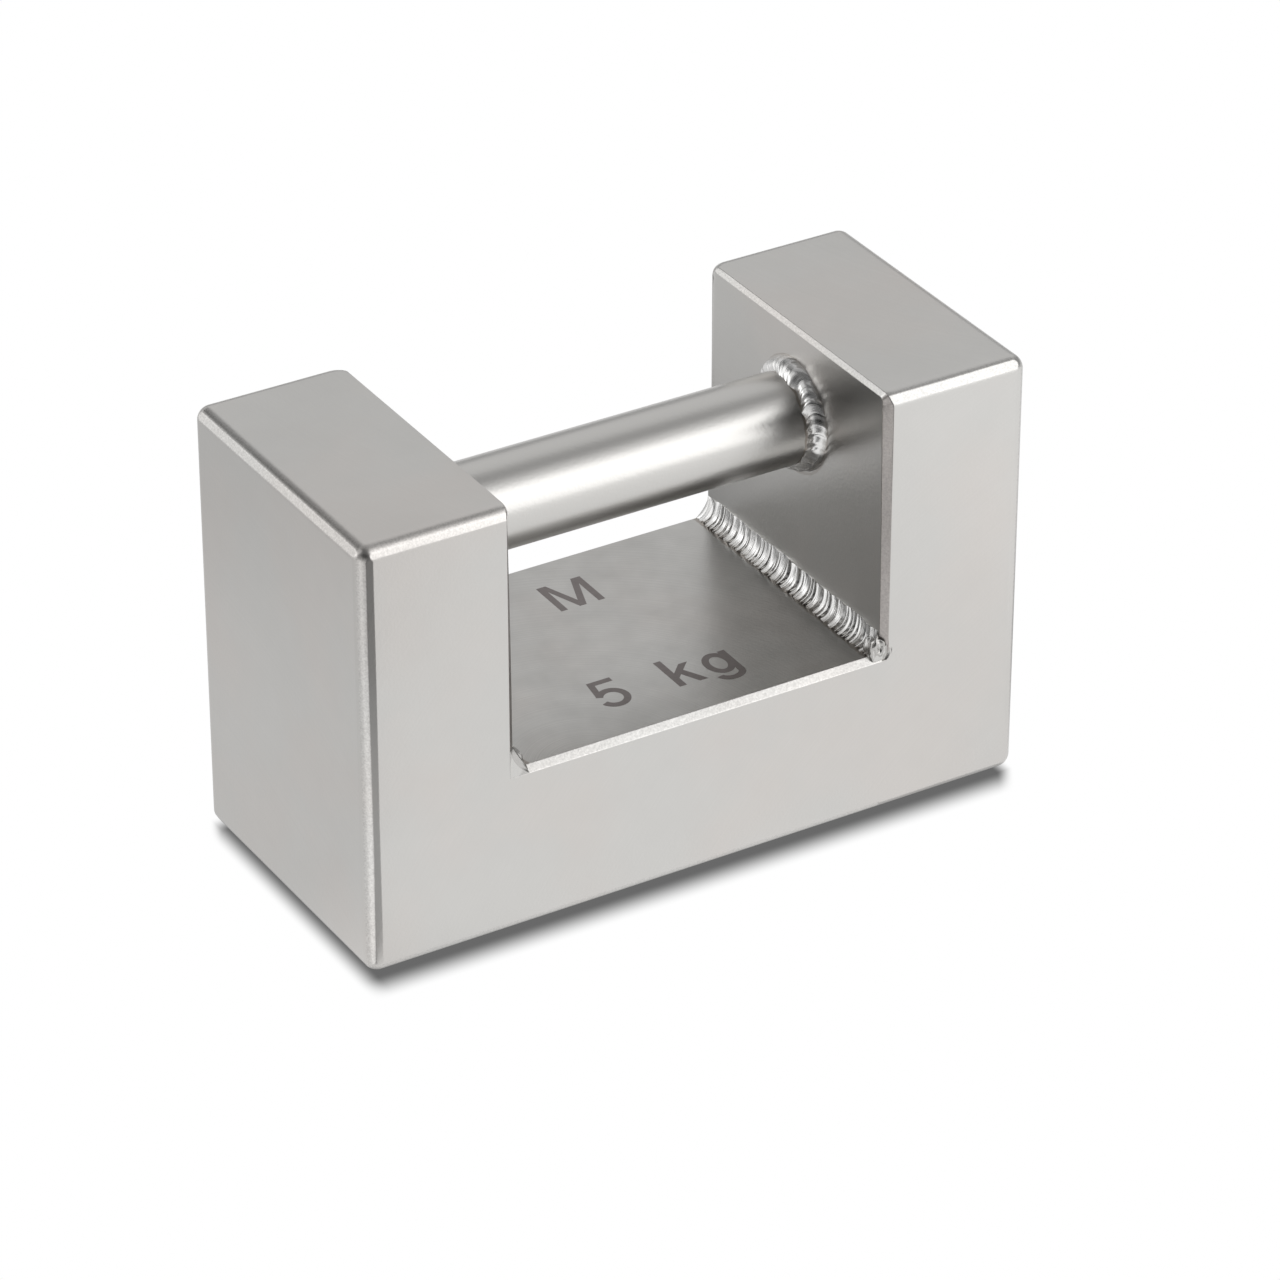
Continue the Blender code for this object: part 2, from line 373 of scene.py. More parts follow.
def square_foot(bm, foot_z):
    """End the chamfer of the rim in a level step at its foot."""
    reach = 2 * INNER_EDGE_CHAMFER
    for vert in bm.verts:
        by_edge = vert.co.x < INNER_X + reach and abs(vert.co.y) > HALF_WIDTH - reach
        if by_edge and 0 < foot_z - vert.co.z < reach:
            vert.co.z = foot_z
    bmesh.ops.remove_doubles(bm, verts=bm.verts, dist=MERGE_DISTANCE)


def open_foot(bm):
    """Widen the foot of the front rim into a round recess, for the lump of weld."""
    for vert in bm.verts:
        above_middle = (vert.co.z - BASE_Z) / MM - LUMP_RECESS_MIDDLE
        across = (vert.co.x - INNER_X) / INNER_EDGE_CHAMFER
        if vert.co.y > -HALF_WIDTH + 2 * INNER_EDGE_CHAMFER or across > CHAMFER_END:
            continue
        if above_middle > 0:
            width = 1.0 + (LUMP_RECESS_WIDTH - 1.0) * math.exp(-(above_middle / LUMP_RECESS_FADE) ** 2)
        elif above_middle > LUMP_RECESS_FOOT - LUMP_RECESS_MIDDLE:
            width = LUMP_RECESS_WIDTH * math.sqrt(1.0 - (above_middle / LUMP_RECESS_DROP) ** 2)
        else:
            continue
        vert.co.x = INNER_X + (vert.co.x - INNER_X) * width


def round_rear_corner(bm):
    """Round the rear inner corner of an upright in plan, more and more with the height."""
    start, end = REAR_CORNER_GROWTH
    edge = OUTER_EDGE_RADIUS
    for vert in bm.verts:
        grown = max(0.0, min(1.0, (vert.co.z - BASE_Z - start) / (end - start)))
        radius = REAR_CORNER_RADIUS * grown
        above = max(0.0, min(edge, vert.co.z - UPRIGHT_HIGH.z + edge))
        rear = HALF_WIDTH - edge + math.sqrt(edge ** 2 - above ** 2)
        off = Vector((INNER_X + radius - vert.co.x, vert.co.y - rear + radius))
        if radius > 0 and min(off) > 0 and off.length > radius:
            off *= radius / off.length
            vert.co.x = INNER_X + radius - off.x
            vert.co.y = rear - radius + off.y


def upright(side, material):
    """One upright, built as the right one and mirrored for the left end."""
    name = SIDE_NAMES[side]
    bm = block(UPRIGHT_LOW, UPRIGHT_HIGH)

    def on_inner_face(edge):
        return all(vert.co.x < INNER_X + TOLERANCE for vert in edge.verts)

    outer = [edge for edge in bm.edges if not on_inner_face(edge)]
    bevel(bm, outer, OUTER_EDGE_RADIUS, OUTER_EDGE_STEPS)
    foot_z = BASE_Z - INNER_EDGE_CHAMFER + RIM_FOOT_RISE
    cut_across(bm, 2, [foot_z])

    def above_base(edge):
        heights = [vert.co.z - foot_z for vert in edge.verts]
        return min(heights) > -TOLERANCE and max(heights) > TOLERANCE

    rim = [edge for edge in bm.edges if on_inner_face(edge) and above_base(edge)]
    chamfer_edges(bm, rim, above_base)
    square_foot(bm, foot_z)
    corner_cuts = [cut * MM for cut in REAR_CORNER_CUTS]
    recess_cuts = [BASE_Z + cut * MM for cut in LUMP_RECESS_CUTS]
    cut_across(bm, 2, cut_places(0.0, UPRIGHT_HIGH.z) + recess_cuts)
    cut_across(bm, 1, cut_places(-HALF_WIDTH, HALF_WIDTH) + [HALF_WIDTH - cut for cut in corner_cuts])
    cut_across(bm, 0, cut_places(INNER_X, UPRIGHT_HIGH.x) + [INNER_X + cut for cut in corner_cuts])
    radius = Vector((1, 1, 1)) * OUTER_EDGE_RADIUS
    core_low = UPRIGHT_LOW + radius
    core_low.x = INNER_X
    top_facet = RIGHT_TOP_FACET if side > 0 else LEFT_TOP_FACET
    dress_edges(bm, core_low, UPRIGHT_HIGH - radius, top_facet, FACET_SEEDS[name])
    shape_rim(bm, foot_z)
    round_rear_corner(bm)
    if side > 0:
        open_foot(bm)
    else:
        bmesh.ops.scale(bm, vec=(-1, 1, 1), verts=bm.verts)
        bmesh.ops.reverse_faces(bm, faces=bm.faces)
    add_piece(f"ground_upright_{name}", bm, material, [f"{name}_upright"], weighted=True)


def handle(material):
    """The round bar, from upright to upright."""
    bm = bmesh.new()
    bmesh.ops.create_cone(
        bm, cap_ends=True, segments=BAR_SIDES,
        radius1=BAR_RADIUS, radius2=BAR_RADIUS, depth=2 * INNER_X,
        matrix=Matrix.Translation((0, 0, BAR_Z)) @ Matrix.Rotation(math.pi / 2, 4, "Y"),
    )
    add_piece("drawn_bar", bm, material, ["handle_bar"])


# Weld beads

Ripple = namedtuple("Ripple", "start length size height scallop")


def lay_ripples(run, dice):
    """Uneven ripples that fill a run."""
    count = round(run / RIPPLE_PITCH)
    lengths = [dice.uniform(*RIPPLE_LENGTHS) for _ in range(count)]
    scale = run / sum(lengths)
    ripples = []
    start = 0.0
    for length in lengths:
        size = 1.0 + dice.uniform(-RIPPLE_UNEVENNESS, RIPPLE_UNEVENNESS)
        height = dice.uniform(*RIPPLE_HEIGHTS)
        ripples.append(Ripple(start, length * scale, size, height, dice.uniform(*RIPPLE_SCALLOPS)))
        start += length * scale
    return ripples


def ripple_at(ripples, along):
    """The ripple at a place along the run, the one after it, and the share of the way between."""
    index = 0
    while index + 1 < len(ripples) and ripples[index + 1].start <= along:
        index += 1
    ripple = ripples[index]
    phase = min(1.0, (along - ripple.start) / ripple.length)
    return ripple, ripples[(index + 1) % len(ripples)], phase


def scale_lobe(phase):
    """Height of one ripple over its length: a long rise to the crest and a short drop."""
    if phase < RIPPLE_CREST:
        return math.sin(0.5 * math.pi * phase / RIPPLE_CREST)
    return math.cos(0.5 * math.pi * (phase - RIPPLE_CREST) / (1.0 - RIPPLE_CREST))


def ridge(value):
    """A rounded furrow between sharp crests, from 0 to 1."""
    return 1.0 - abs(math.sin(math.pi * value))


def waver_at(along, waver, seed):
    return waver.depth * noise.noise(Vector((along / waver.size, seed, waver.layer)))


def crater_relief(crater, ring, twist):
    """The curl and the pit of a crater, at a distance from its middle in its radii."""
    curl = crater.height * ridge(crater.rings * ring + twist)
    return curl - crater.pit_depth * math.exp(-(ring / crater.pit_radius) ** 2)


def bead_section(foot, rise, crown, swell, sink):
    """Points across a bead, as (out, up, share) from the upright and from the base or the bar."""
    points = []
    width = math.hypot(foot, rise)
    for step in range(WELD_FACE_STEPS + 1):
        share = step / WELD_FACE_STEPS
        arch = 4.0 * share * (1.0 - share)
        bulge = crown * width * math.sqrt(0.5) * arch + swell(share) * min(1.0, TOE_FADE * arch)
        out = -sink + (foot + sink) * (1.0 - share) + bulge * rise / width
        up = -sink + (rise + sink) * share + bulge * foot / width
        points.append((out, up, share))
    return points


def skin_rows(bm, rows, closed):
    """Faces between equal rows of vertices, closed into a tube and at its ends."""
    width = len(rows[0])
    pairs = list(zip(rows, rows[1:]))
    if closed:
        pairs.append((rows[-1], rows[0]))
    for row, after in pairs:
        for i in range(width):
            j = (i + 1) % width
            bm.faces.new((row[i], row[j], after[j], after[i]))
    if not closed:
        bm.faces.new(rows[0])
        bm.faces.new(reversed(rows[-1]))


def surface_swell(along, phase, ripple, seed, finish):
    """The height of a bead over its plain form, as a function of the share across it."""
    lobe = finish.ripple * ripple.height * scale_lobe(phase)
    lines = ridge(along / RIDGE_PITCH + waver_at(along, RIDGE_DRIFT, seed))

    def swell(share):
        group = noise.noise(Vector((along / RIDGE_GROUP_SIZE, RIDGE_GROUP_ACROSS * share, seed)))
        strength = max(0.0, min(1.0, RIDGE_GROUP_LEVEL + RIDGE_GROUP_CONTRAST * group))
        slow = noise.noise(Vector((along / SWELL_SIZE, SWELL_ACROSS * share, seed + SWELL_LAYER)))
        return lobe + finish.ridge * strength * lines + finish.swell * slow

    return swell


def base_weld(side, seed, material):
    """The bead in the corner of the base: bowed ripples, and ends ground hollow and flush.

    The right bead stops in the lump at the front instead.
    """
    name = SIDE_NAMES[side]
    dice = random.Random(seed)
    width = 2 * HALF_WIDTH
    if side > 0:
        width -= END_LUMP_OFFSET[1] * MM
    ripples = lay_ripples(width, dice)
    steps = round(width / WELD_STEP)
    bm = bmesh.new()
    rows = []
    for step in range(steps + 1):
        along = width * step / steps
        ripple, after, phase = ripple_at(ripples, along)
        to_end = along if side > 0 else min(along, width - along)
        fullness = min(1.0, to_end / WELD_END_LENGTH)
        crown = WELD_END_CROWN + (WELD_CROWN - WELD_END_CROWN) * fullness
        size = ripple.size * (1.0 - phase) + after.size * phase
        notch = abs(math.sin(math.pi * phase)) ** SCALLOP_POWER
        scallop = SCALLOP_DEPTH * ripple.scallop * fullness * (notch - SCALLOP_MIDDLE)
        wander = fullness * waver_at(along, TOE_WANDER, seed)
        foot = BASE_WELD_FOOT * size + scallop + waver_at(along, TOE_ROUGHNESS, seed)
        rise = BASE_WELD_RISE * size + wander + SCALLOP_RISE_SHARE * scallop
        bow = BASE_RIPPLE_BOW * fullness
        sink = max(WELD_SINK, INNER_EDGE_CHAMFER - to_end)
        height = surface_swell(along, phase, ripple, seed, BASE_FINISH)
        row = []
        for out, up, share in bead_section(foot, rise, crown, lambda s: fullness * height(s), sink):
            y = HALF_WIDTH - along - bow * 4.0 * share * (1.0 - share)
            y = min(max(y, -HALF_WIDTH + WELD_FLUSH_GAP), HALF_WIDTH - WELD_FLUSH_GAP)
            row.append(bm.verts.new((side * (INNER_X - out), y, BASE_Z + up)))
        row.append(bm.verts.new((side * (INNER_X + sink), row[0].co.y, BASE_Z - sink)))
        rows.append(row)
    skin_rows(bm, rows, closed=False)
    if side > 0:
        end_lump(bm)
    add_piece(
        f"bead_base_{name}", bm, material, [f"base_weld_{name}"], sharp=WELD_SHARP_ANGLE,
    )


def end_lump(bm):
    """The lump with a curled crater that ends the right base bead at its front corner."""
    radii = Vector(END_LUMP_RADII) * MM
    crater = Vector(END_CRATER_DIRECTION).normalized()
    across = crater.cross(Vector((0, 0, 1))).normalized()
    along = crater.cross(across)
    made = bmesh.ops.create_icosphere(bm, subdivisions=END_LUMP_SUBDIVISIONS, radius=1.0)
    for vert in made["verts"]:
        way = vert.co.normalized()
        right, high, near = way.dot(across), way.dot(along), way.dot(crater)
        ring = math.hypot(END_CRATER_STRETCH[0] * right, END_CRATER_STRETCH[1] * high)
        twist = END_CRATER_CURL * math.atan2(high, right) / math.pi
        twist += END_CRATER_WAVER * noise.noise(END_CRATER_WAVER_SCALE * way)
        swell = crater_relief(END_CRATER, ring, twist) * max(0.0, min(1.0, END_CRATER_FADE * near))
        uneven = noise.noise(END_LUMP_UNEVEN_SCALE * way + END_LUMP_UNEVEN_SHIFT)
        swell += END_LUMP_UNEVENNESS * uneven - END_LUMP_SHRINK
        squared = sum(abs(part) ** END_LUMP_SQUARENESS for part in way) ** (-1.0 / END_LUMP_SQUARENESS)
        place = END_LUMP_PLACE + Vector(radii[i] * way[i] for i in range(3)) * (squared + swell)
        place.y = max(place.y, -HALF_WIDTH + WELD_FLUSH_GAP)
        vert.co = place


def crater_height(plain, along_gap, share):
    """The height of a ring bead near its end crater, where plain(share) is its height elsewhere."""
    across_gap = HANDLE_WELD_FACE * (share - HANDLE_CRATER_SHARE)
    ring = math.hypot(along_gap, across_gap) / HANDLE_CRATER_RADIUS
    if ring > HANDLE_CRATER_REACH:
        return plain(share)
    calm = min(1.0, max(0.0, ring - HANDLE_CRATER_CALM))
    return plain(share) * calm + crater_relief(HANDLE_CRATER, ring, HANDLE_CRATER_SHIFT)


def handle_weld(side, seed, material):
    """The bead round the end of the handle."""
    name = SIDE_NAMES[side]
    dice = random.Random(seed)
    middle_radius = BAR_RADIUS + HANDLE_WELD_RISE / 2
    run = 2 * math.pi * middle_radius
    ripples = lay_ripples(run, dice)
    steps = round(run / WELD_STEP)
    bm = bmesh.new()

    def ring_vert(out, radius, angle):
        across, high = -radius * math.sin(angle), BAR_Z + radius * math.cos(angle)
        return bm.verts.new((side * (INNER_X - out), across, high))

    rows = []
    for step in range(steps):
        along = run * step / steps
        angle = along / middle_radius
        ripple, after, phase = ripple_at(ripples, along)
        size = ripple.size * (1.0 - phase) + after.size * phase
        circle = Vector((math.cos(angle), math.sin(angle), seed))
        wander = sum(noise.noise(circle * pace) * depth for pace, depth in RING_WANDER)
        under = 0.5 - 0.5 * math.cos(angle - HANDLE_WELD_THICK_ANGLE)
        full_rise = HANDLE_WELD_RISE + (HANDLE_WELD_THIN_RISE - HANDLE_WELD_RISE) * under ** 2
        foot = HANDLE_WELD_FOOT * size + wander
        rise = full_rise * size + RING_WANDER_RISE_SHARE * wander
        plain = surface_swell(along, phase, ripple, seed, HANDLE_FINISH)
        crater_gap = middle_radius * (angle - HANDLE_CRATER_ANGLE)
        section = bead_section(
            foot, rise, HANDLE_WELD_CROWN, lambda s: crater_height(plain, crater_gap, s), WELD_SINK,
        )
        row = []
        for out, up, share in section:
            turn = (along + HANDLE_RIPPLE_BOW * 4.0 * share * (1.0 - share)) / middle_radius
            row.append(ring_vert(out, BAR_RADIUS + up, turn))
        row.append(ring_vert(-WELD_SINK, BAR_RADIUS - WELD_SINK, angle))
        rows.append(row)
    skin_rows(bm, rows, closed=True)
    add_piece(
        f"bead_bar_{name}", bm, material, [f"handle_weld_{name}"], sharp=WELD_SHARP_ANGLE,
    )


# Materials

# The share of a soft band's width where it is full
BAND_CORE = 0.4


class Nodes:
    """A node tree, with short calls for the nodes used here."""

    def __init__(self, tree):
        self.tree = tree

    def add(self, kind, *inputs, **settings):
        """A new node, with its first inputs linked or set."""
        node = self.tree.nodes.new(kind)
        for key, value in settings.items():
            setattr(node, key, value)
        for socket, value in zip(node.inputs, inputs):
            self.plug(socket, value)
        return node

    def plug(self, socket, value):
        """Link a socket, or set a plain value on it."""
        if isinstance(value, bpy.types.NodeSocket):
            self.tree.links.new(value, socket)
        else:
            socket.default_value = value

    def place(self):
        return self.add("ShaderNodeTexCoord").outputs["Object"]

    def math(self, operation, first, second=0.0):
        return self.add("ShaderNodeMath", first, second, operation=operation).outputs[0]

    def vector_math(self, operation, first, second=(0.0, 0.0, 0.0)):
        return self.add("ShaderNodeVectorMath", first, second, operation=operation)

    def stretch(self, vector, scale):
        return self.vector_math("MULTIPLY", vector, scale).outputs["Vector"]

    def dot(self, vector, axis):
        return self.vector_math("DOT_PRODUCT", vector, axis).outputs["Value"]

    def distance(self, vector, point):
        return self.vector_math("DISTANCE", vector, point).outputs["Value"]

    def direction(self, vector):
        return self.vector_math("NORMALIZE", vector).outputs["Vector"]

    def parts(self, vector):
        return self.add("ShaderNodeSeparateXYZ", vector).outputs[:]

    def mix_value(self, share, first, second):
        node = self.add("ShaderNodeMix", data_type="FLOAT")
        self.plug(node.inputs[0], share)
        self.plug(node.inputs[2], first)
        self.plug(node.inputs[3], second)
        return node.outputs[0]

    def noise(self, vector, scale, detail=2.0, input_name="Vector", dimensions="3D"):
        node = self.add("ShaderNodeTexNoise", noise_dimensions=dimensions)
        self.plug(node.inputs[input_name], vector)
        self.plug(node.inputs["Scale"], scale)
        self.plug(node.inputs["Detail"], detail)
        return node.outputs["Fac"]

    def wobble(self, vector, scale):
        """Noise round zero."""
        return self.math("SUBTRACT", self.noise(vector, scale, 3.0), 0.5)

    def lines(self, distance, pitch):
        """Fine uneven lines at equal distances from a centre."""
        return self.noise(distance, 1.0 / pitch, 3.0, "W", "1D")

    def remap(self, value, low, high, to_low, to_high, kind="SMOOTHSTEP"):
        ranges = (low, high, to_low, to_high)
        return self.add("ShaderNodeMapRange", value, *ranges, interpolation_type=kind).outputs["Result"]

    def near(self, value, centre, half):
        """One in the core of a band round a value, fading to zero at its borders."""
        off = self.math("ABSOLUTE", self.math("SUBTRACT", value, centre))
        return self.remap(off, BAND_CORE * half, half, 1.0, 0.0)

    def times(self, product, *others):
        for other in others:
            product = self.math("MULTIPLY", product, other)
        return product

    def plus(self, first, second):
        return self.math("ADD", first, second)

    def blend(self, share, first, second):
        """Mix two colours, each a socket or a plain red, green and blue."""
        node = self.add("ShaderNodeMix", data_type="RGBA")
        self.plug(node.inputs[0], share)
        for socket, colour in ((node.inputs[6], first), (node.inputs[7], second)):
            is_plain = isinstance(colour, tuple)
            self.plug(socket, (*colour, 1.0) if is_plain else colour)
        return node.outputs[2]

    def bump(self, height, depth, normal=None):
        node = self.add("ShaderNodeBump")
        self.plug(node.inputs["Height"], height)
        node.inputs["Distance"].default_value = depth
        if normal:
            self.plug(node.inputs["Normal"], normal)
        return node.outputs["Normal"]


class Shader(Nodes):
    """The nodes of a material."""

    def __init__(self, name, colour, roughness, metallic=1.0):
        self.material = bpy.data.materials.new(name)
        self.material.use_nodes = True
        super().__init__(self.material.node_tree)
        self.surface = self.tree.nodes["Principled BSDF"]
        self.set("Base Color", (*colour, 1.0))
        self.set("Metallic", metallic)
        self.set("Roughness", roughness)

    def set(self, name, value):
        """Link or set an input of the surface."""
        self.plug(self.surface.inputs[name], value)

    def facing(self):
        """The three parts of the surface's normal."""
        return self.parts(self.add("ShaderNodeNewGeometry").outputs["Normal"])


BLOCK_COLOUR = (0.600, 0.592, 0.575)
BLOCK_WARM_COLOUR = (0.610, 0.588, 0.566)
# Painted shade: the filed rims are coloured darker than the blocks
RIM_SHADE_COLOUR = (0.415, 0.390, 0.375)
TINT_COLOUR = (0.300, 0.255, 0.215)
HANDLE_COLOUR = (0.600, 0.590, 0.572)
WELD_COLOUR = (0.790, 0.785, 0.775)
# The lump's dull colour, which is also painted as shade on the beads' front ends
LUMP_AND_SHADE_COLOUR = (0.450, 0.440, 0.425)
MARK_COLOUR = (0.205, 0.185, 0.180)
BLOCK_ROUGHNESS = 0.30
HANDLE_ROUGHNESS = 0.29
WELD_ROUGHNESS = 0.24
MARK_ROUGHNESS = 0.40

# Blocks: warm patches and cloudy roughness. Scales are noise cells to the metre.
WARM_PATCH_SCALE = 28.0
WARM_PATCH_RANGE = (0.40, 0.68)
CLOUD_SCALE = 45.0
CLOUD_RANGE = (0.3, 0.7)
CLOUD_ROUGHNESS = (BLOCK_ROUGHNESS - 0.02, BLOCK_ROUGHNESS + 0.02)
# The base's top is where a level face lies below this height
LEVEL_FACING = (0.90, 0.97)
BASE_TOP_END = (BASE_Z + 1 * MM, BASE_Z + 2 * MM)
# Grinding lines are arcs, plain on the base's top, which is darker as well, and faint elsewhere
BASE_TOP_SHARE = 0.90
BASE_ARC_CENTRE = Vector((-28, -38, 36.6)) * MM
BASE_ARC_PITCH = 0.30 * MM
BASE_ARC_TONES = (0.87, 1.07)
FACE_ARC_CENTRE = Vector((160, 50, -120)) * MM
FACE_ARC_PITCH = 0.42 * MM
FACE_ARC_TONES = (0.982, 1.012)
FACE_ARC_DEPTH = 0.0045 * MM
ARC_BREAK_SCALE = 160.0
ARC_RANGE = (0.05, 0.45)
# Satin grain of the blocks and the bar, and the crinkle of the welds
BLOCK_GRAIN_SCALE = 1500.0
HANDLE_GRAIN_SCALE = 1600.0
GRAIN_DEPTH = 0.022 * MM
CRINKLE_SCALE = 1500.0
CRINKLE_DEPTH = 0.005 * MM
# Coarse grains on the edges, which are dressed by hand
EDGE_FLATNESS = (0.90, 0.98)
EDGE_GRAIN_SCALE = 2600.0
EDGE_GRAIN_RANGE = (0.30, 0.70)
EDGE_GRAIN_TONES = (0.86, 1.08)
# Painted shade on the filed rims: how far they turn between the faces, and where they end
RIM_SHADE_FACING = (0.22, 0.36)
RIM_SHADE_END = (INNER_X + 1.6 * MM, INNER_X + 1.9 * MM)
RIM_SHADE_START = (BASE_Z, BASE_Z + 1 * MM)
INNER_FACE_END = (INNER_X + 0.1 * MM, INNER_X + 0.3 * MM)

# Heat tint beside the welds: its place, half width, wobble and strength
RING_TINT = (BAR_RADIUS + HANDLE_WELD_RISE, 0.40 * MM, 0.5 * MM, 0.35)
BEAD_TINT = (INNER_X - BASE_WELD_FOOT - 0.2 * MM, 0.7 * MM, 1.2 * MM, 0.60)
BAR_TINT = (INNER_X - HANDLE_WELD_FOOT - 0.1 * MM, 0.45 * MM, 1.6 * MM, 0.75)
BLOCK_TINT_SCALE = 420.0
BAR_TINT_SCALE = 300.0
BAR_HAZE_LENGTH = 2.0 * MM
BAR_HAZE = 0.08

# Welds: how far the dull metal reaches from the lump, how far the painted shade reaches from the front,
# and its flush ends
DULL_REACH = (1.9 * MM, 3.6 * MM)
DULL_WOBBLE = 2.4 * MM
DULL_WOBBLE_SCALE = 700.0
FRONT_END_SHADE = (2.4 * MM - HALF_WIDTH, 1.2 * MM - HALF_WIDTH)
FRONT_END_SHADE_SHARE = 0.9
FLUSH_FACING = (0.985, 0.995)

MARK_FADE_SCALE = 900.0
MARK_LIGHTER = 1.25


def painted_rim_shade(shader, facing, x_off, z):
    """One on the filed rims up the inner corners of the uprights, where a darker colour is painted as
    shade.
    """
    corner = shader.math("ABSOLUTE", shader.times(facing[0], facing[1]))
    return shader.times(
        shader.remap(corner, *RIM_SHADE_FACING, 0.0, 1.0),
        shader.remap(x_off, *RIM_SHADE_END, 1.0, 0.0),
        shader.remap(z, *RIM_SHADE_START, 0.0, 1.0),
    )


def tint_band(shader, distance, wobble, tint):
    """A wavering band of heat tint at a distance."""
    place, half, waver_size, strength = tint
    distance = shader.plus(distance, shader.times(wobble, waver_size))
    return shader.times(shader.near(distance, place, half), strength)


def heat_tint(shader, place, x_off, on_base):
    """Tint on the inner faces round the handle's weld, and on the base along its bead."""
    wobble = shader.wobble(place, BLOCK_TINT_SCALE)
    radius = shader.distance(shader.stretch(place, (0.0, 1.0, 1.0)), (0.0, 0.0, BAR_Z))
    on_inner = shader.remap(x_off, *INNER_FACE_END, 1.0, 0.0)
    ring = shader.times(on_inner, tint_band(shader, radius, wobble, RING_TINT))
    toe = shader.times(on_base, tint_band(shader, x_off, wobble, BEAD_TINT))
    return shader.math("MAXIMUM", ring, toe)


def arc_tone(shader, arcs, breaks, tones):
    broken = shader.times(arcs, breaks)
    return shader.remap(broken, *ARC_RANGE, *tones, "LINEAR")


def edge_grains(shader, place, facing):
    """The tone of the coarse grains on the edges, and one on flat faces."""
    flatness = 0.0
    for part in facing:
        flatness = shader.math("MAXIMUM", flatness, shader.math("ABSOLUTE", part))
    grains = shader.noise(place, EDGE_GRAIN_SCALE, 1.0)
    grains = shader.remap(grains, *EDGE_GRAIN_RANGE, *EDGE_GRAIN_TONES, "LINEAR")
    return shader.mix_value(shader.remap(flatness, *EDGE_FLATNESS, 1.0, 0.0), 1.0, grains)


def ground_steel():
    """Blocks: fine ground stainless steel, with painted shade on the filed rims and heat tint beside the
    welds.
    """
    shader = Shader("ground_stainless", BLOCK_COLOUR, BLOCK_ROUGHNESS)
    place = shader.place()
    x, _, z = shader.parts(place)
    x_off = shader.math("ABSOLUTE", x)
    facing = shader.facing()
    on_base = shader.times(
        shader.remap(facing[2], *LEVEL_FACING, 0.0, 1.0), shader.remap(z, *BASE_TOP_END, 1.0, 0.0)
    )
    warm = shader.remap(shader.noise(place, WARM_PATCH_SCALE, 3.0), *WARM_PATCH_RANGE, 0.0, 1.0)
    colour = shader.blend(warm, BLOCK_COLOUR, BLOCK_WARM_COLOUR)
    # Painted shade: the filed rims up the inner corners are darker
    colour = shader.blend(painted_rim_shade(shader, facing, x_off, z), colour, RIM_SHADE_COLOUR)
    colour = shader.blend(heat_tint(shader, place, x_off, on_base), colour, TINT_COLOUR)
    arcs = shader.lines(shader.distance(place, FACE_ARC_CENTRE), FACE_ARC_PITCH)
    base_arcs = shader.lines(shader.distance(place, BASE_ARC_CENTRE), BASE_ARC_PITCH)
    breaks = shader.noise(place, ARC_BREAK_SCALE)
    faint = arc_tone(shader, arcs, breaks, FACE_ARC_TONES)
    plain = arc_tone(shader, base_arcs, breaks, BASE_ARC_TONES)
    plain = shader.times(plain, BASE_TOP_SHARE)
    tone = shader.mix_value(on_base, faint, plain)
    tone = shader.times(tone, edge_grains(shader, place, facing))
    shader.set("Base Color", shader.stretch(colour, tone))
    cloud = shader.noise(place, CLOUD_SCALE, 4.0)
    shader.set("Roughness", shader.remap(cloud, *CLOUD_RANGE, *CLOUD_ROUGHNESS))
    grain = shader.bump(shader.noise(place, BLOCK_GRAIN_SCALE), GRAIN_DEPTH)
    shader.set("Normal", shader.bump(arcs, FACE_ARC_DEPTH, grain))
    return shader.material


def drawn_steel():
    """Handle bar: drawn bar with a satin grain, tinted by heat beside its welds."""
    shader = Shader("drawn_stainless", HANDLE_COLOUR, HANDLE_ROUGHNESS)
    place = shader.place()
    x_off = shader.math("ABSOLUTE", shader.parts(place)[0])
    tint_place, half, waver_size, strength = BAR_TINT
    wobble = shader.times(shader.wobble(place, BAR_TINT_SCALE), waver_size)
    edge = shader.plus(x_off, wobble)
    line = shader.times(shader.near(edge, tint_place, half), strength)
    haze = shader.remap(edge, tint_place - BAR_HAZE_LENGTH, tint_place, 0.0, BAR_HAZE)
    shader.set("Base Color", shader.blend(shader.math("MAXIMUM", line, haze), HANDLE_COLOUR, TINT_COLOUR))
    shader.set("Normal", shader.bump(shader.noise(place, HANDLE_GRAIN_SCALE), GRAIN_DEPTH))
    return shader.material


def welded_steel():
    """Weld beads: bright metal with a fine crinkle, duller on the lump at the end, with painted shade at
    the beads' front ends.
    """
    shader = Shader("weld_metal", WELD_COLOUR, WELD_ROUGHNESS)
    place = shader.place()
    wobble = shader.times(shader.wobble(place, DULL_WOBBLE_SCALE), DULL_WOBBLE)
    away = shader.plus(shader.distance(place, END_LUMP_PLACE), wobble)
    colour = shader.blend(shader.remap(away, *DULL_REACH, 1.0, 0.0), WELD_COLOUR, LUMP_AND_SHADE_COLOUR)
    # Painted shade: the beads darken towards their front ends
    shaded_front_end = shader.remap(shader.parts(place)[1], *FRONT_END_SHADE, 0.0, FRONT_END_SHADE_SHARE)
    colour = shader.blend(shaded_front_end, colour, LUMP_AND_SHADE_COLOUR)
    facing_y = shader.math("ABSOLUTE", shader.facing()[1])
    colour = shader.blend(shader.remap(facing_y, *FLUSH_FACING, 0.0, 1.0), colour, BLOCK_COLOUR)
    shader.set("Base Color", colour)
    shader.set("Normal", shader.bump(shader.noise(place, CRINKLE_SCALE, 3.0), CRINKLE_DEPTH))
    return shader.material


